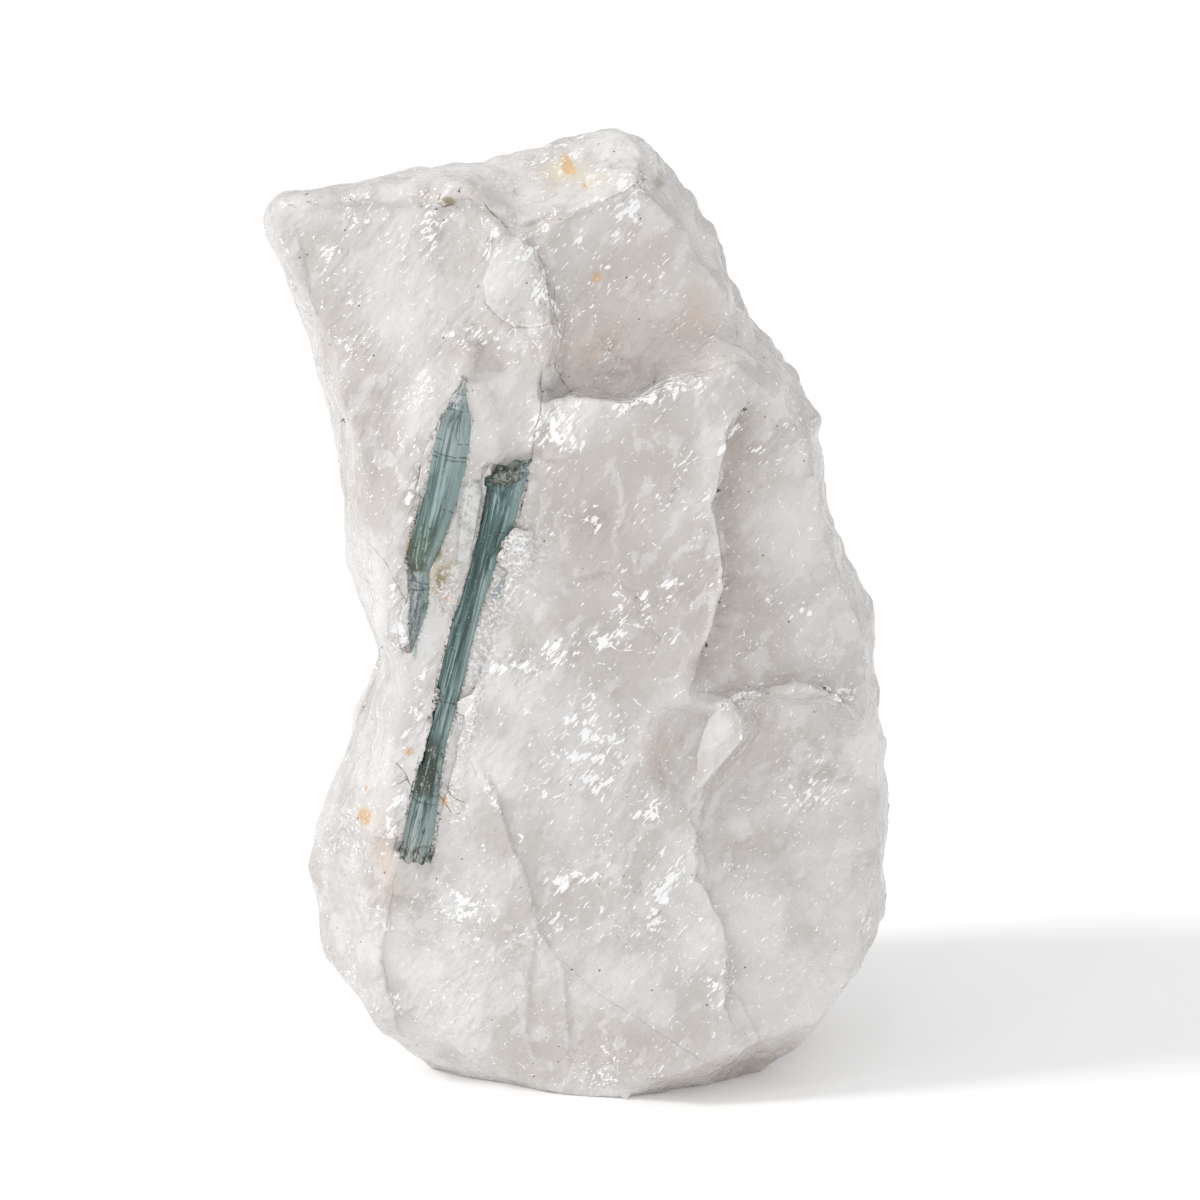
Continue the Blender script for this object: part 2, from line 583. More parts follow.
def ledge_shades(across, down):
    """The shade below the ledges, and the milk along their upper sides."""
    shade = np.zeros(len(across))
    pale_edge = np.zeros(len(across))
    for line, side, _, reach, depth in LEDGES.values():
        signed, nearest, share, _ = distance_to_line(across, down, line)
        ends = fading_ends(share, 0.2)
        below = smooth_step(1.5, -1.5, signed * side) * np.exp(-nearest / reach / 1.3)
        shade = laid_over(shade, below * depth * ends)
        above = smooth_step(-0.5, 1.0, signed * side) * np.exp(-nearest / 6.0)
        pale_edge = laid_over(pale_edge, above * min(depth * 2.0, 0.9) * ends)
    return shade, pale_edge


def crystal_fringe(places):
    """The narrow strip of quartz that touches the sides of the crystals."""
    fringe = np.zeros(len(places))
    for prism in BERYL_PRISMS:
        share, sideways, deep, radius = along_prism(places / MM, prism)
        beside = np.abs(sideways) - radius * FRINGE_SIDE
        ends = smooth_step(-0.03, 0.0, share) * smooth_step(1.02, 0.98, share)
        fringe = np.maximum(fringe, smooth_step(0.5, 0.1, beside) * ends * (np.abs(deep) < PRISM_DEPTH))
    return fringe


def mark_cracks(mesh, across, down, facing):
    """Keep on each vertex the distance to the nearest crack and how strongly it shows there."""
    nearest_crack = np.full(len(across), 99.0)
    strength = np.zeros(len(across))
    for line, depth in CRACKS.values():
        signed, nearest, share, _ = distance_to_line(across, down, line)
        ends = fading_ends(share, 0.06)
        closer = nearest < np.abs(nearest_crack)
        nearest_crack = np.where(closer, signed, nearest_crack)
        strength = np.where(closer, depth * ends * smooth_step(8.0, 5.0, nearest), strength)
    store(mesh, "crack", nearest_crack)
    store(mesh, "crack_depth", strength * facing)


def mark_quartz(mesh):
    """Keep on each vertex what its colour and gloss need: stains, clouds and cracks."""
    places = vertex_values(mesh, "co")
    normals = vertex_values(mesh, "normal")
    facing = facing_camera(places, normals)
    across, down = in_picture(places)
    wander = smooth_noise(places, 9.0, 46) * 10.0 + smooth_noise(places, 3.0, 41) * 4.0
    stray = line_stray(places)
    shade, milk = ledge_shades(across + stray, down - stray)
    underside = smooth_step(14.0, 5.0, places[:, 2] / MM) * smooth_step(0.0, -0.5, normals[:, 2])
    shade = laid_over(shade, underside * smooth_step(620.0, 720.0, across) * 0.7)
    more = {"shade": shade, "milk": milk}
    for name, table in STAINS.items():
        cover = spots(across + wander, down + stray, table)
        store(mesh, name, laid_over(cover, more.get(name, 0.0)) * facing)
    inside = np.full(len(places), -99.0)
    for outline, _, _ in RAISED.values():
        inside = np.maximum(inside, distance_inside(across + stray * 0.3, down, outline))
    store(mesh, "inside_flake", np.where(facing > 0.3, inside, -99.0))
    store(mesh, "fringe", crystal_fringe(places) * facing)
    mark_cracks(mesh, across + smooth_noise(places, 2.2, 45) * 2.0, down, facing)


def fill_sockets(tree, node, values):
    """Give a node's sockets their numbers or colours, or join them to other nodes' outputs."""
    for socket, value in values.items():
        if isinstance(value, bpy.types.NodeSocket):
            tree.links.new(value, node.inputs[socket])
        else:
            node.inputs[socket].default_value = value


def add(tree, kind, values, **settings):
    """Add a shader node with its settings and what its sockets get."""
    made = tree.nodes.new("ShaderNode" + kind)
    for name, value in settings.items():
        setattr(made, name, value)
    fill_sockets(tree, made, values)
    return made


def stretch(tree, value, low, high, start=0.0, end=1.0):
    """Spread low to high over start to end, softly, and hold it there."""
    made = add(tree, "MapRange", {"Value": value, "From Min": low, "From Max": high,
                                  "To Min": start, "To Max": end}, interpolation_type="SMOOTHSTEP")
    return made.outputs["Result"]


def calculate(tree, operation, first, second=0.0):
    return add(tree, "Math", {0: first, 1: second}, operation=operation).outputs[0]


def times(tree, first, second):
    return calculate(tree, "MULTIPLY", first, second)


def plus(tree, first, second):
    return calculate(tree, "ADD", first, second)


def minus(tree, first, second):
    return calculate(tree, "SUBTRACT", first, second)


def blend(tree, share, under, over):
    """Lay one colour over another by a share."""
    return add(tree, "Mix", {0: share, 6: under, 7: over}, data_type="RGBA").outputs[2]


def tinted(tree, color, tint, value, low, high, strength=1.0):
    """Lay a tint over a colour as a value goes from low to high."""
    return blend(tree, stretch(tree, value, low, high, 0.0, strength), color, tint)


def bumped(tree, height, depth, under=None):
    """Normals with a bump of a depth in millimetres, on top of other bumped normals if given."""
    values = {"Height": height, "Strength": 1.0, "Distance": depth * MM}
    if under:
        values["Normal"] = under
    return add(tree, "Bump", values).outputs["Normal"]


def ramp_color(tree, share, tones):
    """The colour at a share of a table of shares and colours."""
    made = add(tree, "ValToRGB", {"Fac": share})
    for place, _ in tones[2:]:
        made.color_ramp.elements.new(place)
    for element, (place, color) in zip(made.color_ramp.elements, tones):
        element.position = place
        element.color = (*color, 1.0)
    return made.outputs["Color"]


def attribute(tree, name, output="Fac"):
    return add(tree, "Attribute", {}, attribute_name=name).outputs[output]


def object_place(tree):
    """Object coordinates in millimetres."""
    place = add(tree, "TexCoord", {}).outputs["Object"]
    return add(tree, "Mapping", {"Vector": place, "Scale": (1 / MM, 1 / MM, 1 / MM)}).outputs["Vector"]


def slanting(tree, place, lean, longer):
    """The same place with patterns drawn out along a line that leans to the right, in degrees."""
    made = add(tree, "Mapping", {"Vector": place, "Rotation": (0.0, math.radians(lean), 0.0),
                                 "Scale": (1.0, 1.0, longer)}, vector_type="TEXTURE")
    return made.outputs["Vector"]


def new_material(name):
    material = bpy.data.materials.new(name)
    material.use_nodes = True
    return material, material.node_tree, material.node_tree.nodes["Principled BSDF"]


def noise_value(tree, place, wavelength, detail=3.0, roughness=0.55):
    return add(tree, "TexNoise", {"Vector": place, "Scale": 1.0 / wavelength, "Detail": detail,
                                  "Roughness": roughness}).outputs["Fac"]


QUARTZ_WHITE = (0.60, 0.572, 0.550, 1.0)
QUARTZ_MILK = (0.73, 0.715, 0.705, 1.0)
QUARTZ_WARM = (0.50, 0.452, 0.417, 1.0)
QUARTZ_GREY = (0.49, 0.45, 0.42, 1.0)
QUARTZ_BEIGE = (0.43, 0.37, 0.325, 1.0)
PEACH = (0.64, 0.53, 0.46, 1.0)
RUST = (0.66, 0.42, 0.20, 1.0)
OCHRE = (0.70, 0.62, 0.47, 1.0)
OLIVE = (0.26, 0.21, 0.10, 1.0)
BURIED_TEAL = (0.30, 0.40, 0.40, 1.0)
CRACK_BROWN = (0.17, 0.12, 0.09, 1.0)
FLECK_WHITE = (0.97, 0.97, 0.97, 1.0)
SPECK_BLACK = (0.06, 0.05, 0.045, 1.0)
CLEAR_GREY = (0.72, 0.71, 0.66, 1.0)
CLEAR_MILK = (0.95, 0.95, 0.93, 1.0)
QUARTZ_IOR = 1.54


# The aquamarine prisms, in millimetres: where the axis starts and ends, the radius to the corners and
# the bend of the axis to the right at each share of the length, the turn of the corners in degrees,
# the slope of the broken ends, the number of rings along the prism, and how ragged its ends are.
LONG_PRISM = {
    "foot": (-28.50, -33.37, 44.9),
    "head": (-12.25, -35.87, 110.3),
    "radii": ((0.0, 2.6), (0.067, 2.9), (0.126, 2.65), (0.2, 2.3), (0.3, 2.05), (0.46, 2.3),
              (0.58, 2.25), (0.67, 2.1), (0.728, 2.15), (0.774, 2.35), (0.82, 2.85), (0.90, 3.1),
              (0.956, 3.3), (1.0, 3.75)),
    "bend": ((0.0, 0.4), (0.067, 0.2), (0.126, -0.1), (0.2, -0.46), (0.3, -0.77), (0.46, -0.68),
             (0.58, -0.83), (0.67, -0.4), (0.728, -0.3), (0.774, -0.1), (0.82, 0.35), (0.90, 0.45),
             (0.956, 0.35), (1.0, 0.0)),
    "turn": -96.0,
    "foot_slope": (0.25, 0.35),
    "head_slope": (0.50, 0.60),
    "rings": 170,
    "ragged": 0.9,
}
SHORT_PRISM = {
    "foot": (-29.12, -34.97, 79.5),
    "head": (-19.62, -35.9, 124.4),
    "radii": ((0.0, 0.3), (0.06, 0.9), (0.13, 1.4), (0.2, 1.7), (0.305, 1.85), (0.35, 2.5),
              (0.45, 3.0), (0.6, 3.15), (0.70, 3.2), (0.78, 3.15), (0.84, 2.85), (0.90, 2.0),
              (0.915, 1.5), (0.94, 1.0), (1.0, 0.12)),
    "bend": ((0.0, 1.0), (0.06, 0.8), (0.13, 0.65), (0.2, 0.5), (0.30, -0.7), (0.35, -0.8), (0.45, -0.2),
             (0.6, 0.6), (0.84, 0.5), (1.0, 0.5)),
    "turn": -84.0,
    "foot_slope": (0.0, 0.0),
    "head_slope": (0.0, 0.0),
    "rings": 120,
    "ragged": 0.1,
}
# The small clear quartz prism between them.
CLEAR_PRISM = {
    "foot": (-20.1, -35.0, 93.6),
    "head": (-17.9, -36.5, 108.2),
    "radii": ((0.0, 1.0), (0.15, 1.8), (0.5, 2.2), (0.85, 2.3), (0.95, 2.0), (1.0, 1.4)),
    "bend": ((0.0, 0.0), (1.0, 0.0)),
    "turn": -110.0,
    "foot_slope": (0.0, 0.0),
    "head_slope": (0.3, 0.2),
    "rings": 40,
    "ragged": 0.5,
}
BERYL_PRISMS = (LONG_PRISM, SHORT_PRISM)
PRISM_SIDES = 72
PRISM_CAP_RINGS = 5

# Where the quartz meets an aquamarine: how far in front of and behind the axis that is felt, in
# millimetres, and as shares of the radius, how far beside the axis the dirty fringe and the bank of
# quartz begin, and how far in front of the axis the bank lies.
PRISM_DEPTH = 9.0
FRINGE_SIDE = 0.9
BANK_SIDE = 0.87
BANK_LEVEL = 0.42


def column(table, values):
    """A value of a prism's table at each share of the length."""
    return np.interp(values, [row[0] for row in table], [row[1] for row in table])


def prism_axes(prism):
    """The foot and length of a prism, and its directions along, sideways and backwards."""
    foot = Vector(prism["foot"])
    head = Vector(prism["head"])
    along = (head - foot).normalized()
    sideways = Vector((0.0, 1.0, 0.0)).cross(along).normalized()
    return foot, (head - foot).length, along, sideways, along.cross(sideways)


def along_prism(places, prism):
    """For places in millimetres: the share of the prism's length, the distance sideways from its bent
    axis, the depth behind it, and the prism's radius there."""
    foot, length, along, sideways, backwards = prism_axes(prism)
    offset = places - np.array(foot)
    share = offset @ np.array(along) / length
    across = offset @ np.array(sideways) - column(prism["bend"], share)
    return share, across, offset @ np.array(backwards), column(prism["radii"], share)


def hexagon_reach(angle):
    """The distance to the side of a hexagon whose corners are at distance 1."""
    from_middle = (angle % (math.pi / 3)) - math.pi / 6
    return math.cos(math.pi / 6) / math.cos(from_middle)


def prism_cylinder(rings):
    """A closed cylinder of radius and length 1 with many rings, also on its ends."""
    bm = bmesh.new()
    bmesh.ops.create_cone(bm, cap_ends=True, cap_tris=False, segments=PRISM_SIDES,
                          radius1=1.0, radius2=1.0, depth=1.0)
    for _ in range(PRISM_CAP_RINGS):
        caps = [face for face in bm.faces if len(face.verts) > 4]
        bmesh.ops.inset_individual(bm, faces=caps, thickness=0.98 / (PRISM_CAP_RINGS + 1), depth=0.0)
    caps = [face for face in bm.faces if len(face.verts) > 4]
    bmesh.ops.poke(bm, faces=caps)
    long_edges = [edge for edge in bm.edges if abs(edge.verts[0].co.z - edge.verts[1].co.z) > 0.5]
    bmesh.ops.subdivide_edges(bm, edges=long_edges, cuts=rings, use_grid_fill=True)
    return bm


def prism_swell(angle, share, length):
    """Fine lines along the faces, chipped edges and cross breaks, as a share of the radius."""
    ring = Vector((math.cos(angle), math.sin(angle), 0.0))
    swell = 1.0 + 0.030 * noise.noise(ring * 5.0 + Vector((0.0, 0.0, share * length * 0.05)))
    swell += 0.016 * noise.noise(ring * 14.0 + Vector((3.0, 0.0, share * length * 0.08)))
    nick = noise.noise(ring * 2.2 + Vector((9.0, 0.0, share * length * 0.9)))
    swell -= 0.10 * max(nick - 0.32, 0.0)
    swell += 0.012 * noise.noise(ring * 6.0 + Vector((5.0, 4.0, share * length * 1.6)))
    return swell


def make_prism(name, node, prism, material):
    foot, length, along, sideways, backwards = prism_axes(prism)
    bm = prism_cylinder(prism["rings"])
    bm.verts.ensure_lookup_table()
    shares = []
    sides = []
    grown = []
    for vert in bm.verts:
        share = min(max(vert.co.z + 0.5, 0.0), 1.0)
        from_middle = abs(share - 0.5) * 2
        angle = math.atan2(vert.co.y, vert.co.x)
        radius = float(column(prism["radii"], share))
        reach = radius * math.hypot(vert.co.x, vert.co.y) * hexagon_reach(angle)
        reach *= prism_swell(angle, share, length)
        turned = angle + math.radians(prism["turn"])
        across = reach * math.cos(turned)
        deep = reach * math.sin(turned)
        bent = across + float(column(prism["bend"], share))
        slope = prism["head_slope"] if share > 0.5 else prism["foot_slope"]
        lift = (slope[0] * across + slope[1] * deep) * max(0.0, from_middle - 0.8) * 5.0
        place = foot + along * (share * length + lift) + sideways * bent + backwards * deep
        rough = prism["ragged"] * smooth_step(0.90, 1.0, from_middle)
        place += along * noise.noise(place * 1.1) * rough
        place += noise.noise_vector(place * 2.3) * rough * 0.35
        vert.co = place * MM
        shares.append(share)
        grown.append((bent, deep, share * length))
        sides.append(across / radius)
    bmesh.ops.recalc_face_normals(bm, faces=bm.faces)
    mesh = mesh_from(bm, name)
    mesh.shade_smooth()
    store(mesh, "share", np.array(shares))
    store(mesh, "side", np.array(sides))
    store(mesh, "grown", np.array(grown))
    mesh.materials.append(material)
    ride_as(put_in_scene(name, mesh), node)


# The colours along each aquamarine, from its foot to its head: share of the length, colour.
LONG_TONES = (
    (0.0, (0.58, 0.57, 0.53)),
    (0.03, (0.52, 0.52, 0.48)),
    (0.05, (0.42, 0.49, 0.47)),
    (0.15, (0.34, 0.44, 0.42)),
    (0.165, (0.08, 0.105, 0.06)),
    (0.27, (0.06, 0.09, 0.06)),
    (0.31, (0.14, 0.24, 0.23)),
    (0.34, (0.27, 0.39, 0.38)),
    (0.41, (0.29, 0.42, 0.41)),
    (0.50, (0.13, 0.235, 0.225)),
    (0.60, (0.11, 0.21, 0.195)),
    (0.75, (0.06, 0.15, 0.14)),
    (0.86, (0.09, 0.195, 0.185)),
    (0.98, (0.085, 0.19, 0.19)),
    (0.99, (0.24, 0.26, 0.21)),
    (1.0, (0.36, 0.38, 0.32)),
)
SHORT_TONES = (
    (0.0, (0.50, 0.55, 0.55)),
    (0.14, (0.46, 0.52, 0.54)),
    (0.29, (0.56, 0.62, 0.63)),
    (0.31, (0.15, 0.18, 0.10)),
    (0.45, (0.14, 0.225, 0.175)),
    (0.60, (0.31, 0.45, 0.44)),
    (0.80, (0.50, 0.61, 0.61)),
    (0.88, (0.36, 0.44, 0.46)),
    (0.905, (0.34, 0.42, 0.43)),
    (0.92, (0.52, 0.58, 0.58)),
    (1.0, (0.62, 0.63, 0.62)),
)
BERYL_DARK = (0.018, 0.055, 0.05, 1.0)
BERYL_PALE = (0.44, 0.60, 0.59, 1.0)
BREAK_DARK = (0.03, 0.06, 0.05, 1.0)
GRIT_DARK = (0.05, 0.05, 0.035, 1.0)
GRIT_PALE = (0.52, 0.53, 0.48, 1.0)
DIRT_BROWN = (0.13, 0.09, 0.035, 1.0)
LINE_STRETCH = 0.045  # how much the lines along the prisms are drawn out


def beryl_material(name, tones, gritty, streaky, broken_at):
    """Clear blue-green with darker and paler lines along the prism, dirt and gritty ends."""
    material, tree, shader = new_material(name)
    grown = attribute(tree, "grown", "Vector")
    share = attribute(tree, "share")
    stray = times(tree, minus(tree, noise_value(tree, grown, 1.6, 3.0, 0.6), 0.5), 0.05)
    color = ramp_color(tree, plus(tree, share, stray), tones)
    color = streaks(tree, grown, color, streaky)
    color = cross_breaks(tree, grown, color)
    color = named_breaks(tree, grown, share, color, broken_at)
    grit = grit_height(tree, grown)
    strewn = gritty(tree, share)
    color = blend(tree, times(tree, stretch(tree, grit, 0.50, 0.60), strewn), color, GRIT_DARK)
    color = blend(tree, times(tree, stretch(tree, grit, 0.45, 0.36), strewn), color, GRIT_PALE)
    glints = noise_value(tree, grown, 0.30, 1.0, 0.5)
    color = tinted(tree, color, FLECK_WHITE, glints, 0.74, 0.76)
    pits = noise_value(tree, grown, 0.8, 2.0, 0.5)
    color = tinted(tree, color, DIRT_BROWN, pits, 0.70, 0.76, 0.8)
    ribs = noise_value(tree, lengthwise(tree, grown, LINE_STRETCH), 0.55, 3.0, 0.65)
    normals = bumped(tree, times(tree, grit, strewn), 0.6, bumped(tree, ribs, 0.2))
    fill_sockets(tree, shader, {"Base Color": color, "Normal": normals, "IOR": 1.58,
                                "Roughness": 0.22, "Transmission Weight": 0.3})
    body = add(tree, "VolumeAbsorption", {"Color": (0.35, 0.62, 0.62, 1.0), "Density": 180.0})
    fill_sockets(tree, tree.nodes["Material Output"], {"Volume": body.outputs["Volume"]})
    return material


def lengthwise(tree, grown, longer):
    """The prism's own coordinates, with patterns drawn out along it."""
    return add(tree, "Mapping", {"Vector": grown, "Scale": (1.0, 1.0, longer)}).outputs["Vector"]


def grit_height(tree, grown):
    fine = noise_value(tree, lengthwise(tree, grown, 0.55), 0.55, 3.0, 0.7)
    coarse = noise_value(tree, grown, 1.5, 1.0)
    return plus(tree, times(tree, fine, 0.7), times(tree, coarse, 0.3))


def streaks(tree, grown, color, streaky):
    """Dark and pale lines along the prism, broad dark bands, a darker left and a paler right side."""
    lines = noise_value(tree, lengthwise(tree, grown, LINE_STRETCH), 0.5, 3.0, 0.65)
    color = tinted(tree, color, BERYL_DARK, lines, 0.50, 0.60, 0.95 * streaky)
    color = tinted(tree, color, BERYL_PALE, lines, 0.47, 0.36, 0.9)
    bands = noise_value(tree, lengthwise(tree, grown, 0.06), 1.6, 1.0, 0.5)
    color = tinted(tree, color, BERYL_DARK, bands, 0.50, 0.62, 0.4 * streaky)
    side = attribute(tree, "side")
    color = tinted(tree, color, BERYL_DARK, side, -0.35, -0.6, 0.45 * streaky)
    return tinted(tree, color, BERYL_PALE, side, 0.25, 0.6, 0.55)


def cross_breaks(tree, grown, color):
    """A few fine dark breaks across the prism."""
    crosswise = add(tree, "Mapping", {"Vector": grown, "Scale": (0.12, 0.12, 1.0)}).outputs["Vector"]
    breaks = add(tree, "TexVoronoi", {"Vector": crosswise, "Scale": 0.15}, feature="DISTANCE_TO_EDGE")
    breaks = stretch(tree, breaks.outputs["Distance"], 0.018, 0.004, 0.0, 0.75)
    broken = stretch(tree, noise_value(tree, grown, 2.2), 0.48, 0.6)
    return blend(tree, times(tree, breaks, broken), color, BREAK_DARK)


def named_breaks(tree, grown, share, color, broken_at):
    """Dark breaks across the prism at given shares of its length, uneven and open in places."""
    bent = times(tree, minus(tree, noise_value(tree, grown, 1.8), 0.5), 0.02)
    place = plus(tree, share, bent)
    open_parts = stretch(tree, noise_value(tree, grown, 1.1), 0.38, 0.60, 0.05, 0.7)
    for middle in broken_at:
        away = calculate(tree, "ABSOLUTE", minus(tree, place, middle))
        line = times(tree, stretch(tree, away, 0.005, 0.0015), open_parts)
        color = blend(tree, line, color, BERYL_DARK)
    return color


def long_grit(tree, share):
    """Gritty at both broken ends and in the dirty stretch."""
    foot = stretch(tree, share, 0.045, 0.03)
    head = stretch(tree, share, 0.985, 0.995)
    dirt = times(tree, stretch(tree, share, 0.15, 0.18), stretch(tree, share, 0.33, 0.27))
    ends = calculate(tree, "MAXIMUM", foot, head)
    return calculate(tree, "MAXIMUM", ends, times(tree, dirt, 0.8))


def short_grit(tree, share):
    """Gritty in the weathered lower stretch."""
    return stretch(tree, share, 0.36, 0.30, 0.05, 0.6)


def clear_quartz_material():
    """Clear quartz with a little milk in it and an uneven glassy skin."""
    material, tree, shader = new_material("clear_quartz")
    place = object_place(tree)
    milk = stretch(tree, noise_value(tree, place, 1.2, 3.0), 0.42, 0.58)
    color = blend(tree, milk, CLEAR_GREY, CLEAR_MILK)
    flash = noise_value(tree, place, 0.9, 2.0)
    color = tinted(tree, color, FLECK_WHITE, flash, 0.52, 0.55)
    normals = bumped(tree, noise_value(tree, place, 0.9, 3.0), 0.5)
    fill_sockets(tree, shader, {"Base Color": color, "Normal": normals, "IOR": QUARTZ_IOR,
                                "Roughness": 0.08, "Transmission Weight": 0.3})
    return material


GRAINS = 130
GRAIN_SIZES = (0.10, 0.24)  # millimetres


def grain_places():
    """Where grains lie: along both edges of the prisms, two of three along the long one."""
    random = np.random.default_rng(5)
    for number in range(GRAINS):
        prism, highest = (LONG_PRISM, 0.97) if number % 3 else (SHORT_PRISM, 0.5)
        foot, length, along, sideways, backwards = prism_axes(prism)
        share = random.uniform(0.0, highest)
        radius = float(column(prism["radii"], share))
        side = random.choice((-1.0, 1.0))
        across = side * (radius * FRINGE_SIDE + abs(random.normal(0.0, 0.15)))
        across += float(column(prism["bend"], share))
        deep = -BANK_LEVEL * radius - random.uniform(0.0, 0.25)
        yield foot + along * share * length + sideways * across + backwards * deep, random


def make_grains():
    """Small rough grains of brown, grey and white along the edges of the two prisms."""
    whole = bmesh.new()
    for place, random in grain_places():
        size = random.uniform(*GRAIN_SIZES) * random.uniform(0.6, 1.0)
        made = bmesh.ops.create_icosphere(whole, subdivisions=1, radius=1.0)
        stretch_by = random.uniform(0.6, 1.3, 3) * size
        for vert in made["verts"]:
            swell = 1.0 + 0.35 * noise.noise(vert.co * 2.0 + place * 3.0)
            vert.co = (place + Vector(vert.co * Vector(stretch_by)) * swell) * MM
    grains = put_in_scene("edge_grains", mesh_from(whole, "edge_grains"))
    grains.data.materials.append(grain_material())
    ride_as(grains, None)


def grain_material():
    material, tree, shader = new_material("edge_grain_dirt")
    place = object_place(tree)
    tone = stretch(tree, noise_value(tree, place, 1.1, 1.0), 0.3, 0.7)
    normals = bumped(tree, noise_value(tree, place, 0.15), 0.06)
    fill_sockets(tree, shader, {"Base Color": ramp_color(tree, tone, GRAIN_TONES), "Normal": normals,
                                "Roughness": 0.5})
    return material


GRAIN_TONES = (
    (0.0, (0.05, 0.04, 0.03)),
    (0.35, (0.10, 0.085, 0.06)),
    (0.45, (0.22, 0.16, 0.09)),
    (0.55, (0.35, 0.36, 0.33)),
    (1.0, (0.72, 0.70, 0.67)),
)


def make_crystals():
    """The two aquamarines, with the shares of their length where they are broken, and the clear one."""
    beryl = beryl_material("aquamarine_long_prism", LONG_TONES, long_grit, 1.0, (0.405, 0.145))
    make_prism("long_prism", "aquamarine_long", LONG_PRISM, beryl)
    beryl = beryl_material("aquamarine_short_prism", SHORT_TONES, short_grit, 0.65, (0.722, 0.737, 0.895))
    make_prism("short_prism", "aquamarine_short", SHORT_PRISM, beryl)
    make_prism("small_clear_prism", None, CLEAR_PRISM, clear_quartz_material())


BANK_WIDTH = 7.0  # how far beside a crystal the quartz is brought up to it, in millimetres
BANK_STEPS = 8  # how often it is smoothed there


def bed_crystals(mesh):
    """Draw the quartz back from the front of each crystal and bring it up against their sides."""
    places = vertex_values(mesh, "co") / MM
    fronts = vertex_values(mesh, "normal")[:, 1]
    for prism in BERYL_PRISMS:
        _, length, _, sideways, backwards = prism_axes(prism)
        share, across, deep, radius = along_prism(places, prism)
        slope = prism["head_slope"]
        top = 1.0 + (slope[0] * across + slope[1] * deep) / length
        beside = np.abs(across) - radius * BANK_SIDE
        felt = (np.abs(deep) < PRISM_DEPTH) & (fronts < 0.3)
        near = (share > -0.01) & (share < top) & felt
        middle = near & (beside < -0.25) & (deep < 1.0)
        bank = near & (beside > -0.25) & (beside < BANK_WIDTH)
        beyond = ((share >= top) | (share <= -0.01)) & (share > -0.12) & (share < 1.12)
        beyond &= (np.abs(across) < radius + 1.2) & felt
        places -= np.array(backwards) * np.where(beyond, np.maximum(deep - 0.2, 0.0), 0.0)[:, None]
        proud = beyond & (share >= top) & (share < top + 0.02) & (slope[0] > 0.0)
        places += np.array(backwards) * np.where(proud, np.maximum(0.6 - deep, 0.0), 0.0)[:, None]
        fading = smooth_step(-0.02, 0.05, share) * smooth_step(1.03, 0.99, share)
        weight = smooth_step(BANK_WIDTH, BANK_WIDTH / 2, beside) * fading
        rise = np.where(bank, np.minimum(-BANK_LEVEL * radius - deep, 0.0) * weight, 0.0)
        sink = np.where(middle, 1.0 - deep, 0.0)
        places += np.array(backwards) * (rise + sink)[:, None]
        closing = np.where(bank, 0.6 * smooth_step(1.6, 0.4, beside) * fading, 0.0)
        places -= np.array(sideways) * (np.sign(across) * closing)[:, None]
    mesh.vertices.foreach_set("co", (places * MM).ravel())
    mesh.update()


def ease_banks(mesh):
    """Smooth the quartz a little where it was moved beside the crystals."""
    places = vertex_values(mesh, "co") / MM
    chosen = np.zeros(len(places), bool)
    for prism in BERYL_PRISMS:
        share, across, deep, radius = along_prism(places, prism)
        beside = np.abs(across) - radius * BANK_SIDE
        from_middle = np.abs(share - 0.5)
        banks = (beside > 0.5) & (beside < BANK_WIDTH + 1.0) & (from_middle < 0.6)
        ends = (beside < 0.5) & (from_middle > 0.52) & (from_middle < 0.6)
        chosen |= (banks | ends) & (np.abs(deep) < PRISM_DEPTH)
    bm = bmesh.new()
    bm.from_mesh(mesh)
    verts = [vert for vert, wanted in zip(bm.verts, chosen) if wanted]
    for _ in range(BANK_STEPS):
        soften(bm, verts, 0.5)
    bm.to_mesh(mesh)
    bm.free()
    mesh.update()


def quartz_material():
    material, tree, shader = new_material("milky_quartz_glassy")
    place = object_place(tree)
    gloss = noise_value(tree, place, 2.2, 3.0)
    fill_sockets(tree, shader, {"Base Color": quartz_color(tree, place), "IOR": QUARTZ_IOR,
                                "Roughness": stretch(tree, gloss, 0.35, 0.7, 0.12, 0.34),
                                "Normal": quartz_normals(tree, place)})
    return material


# How the stains of the quartz are laid over each other: the name, the colour, and the cover at which
# it begins and is full.
TINTS = (
    ("shade", QUARTZ_BEIGE, 0.0, 1.0),
    ("peach", PEACH, 0.2, 1.1),
    ("ochre", OCHRE, 0.25, 0.95),
    ("milk", QUARTZ_MILK, 0.2, 0.8),
    ("teal", BURIED_TEAL, 0.3, 0.9),
    ("olive", OLIVE, 0.3, 1.1),
    ("rust", RUST, 0.35, 0.9),
)


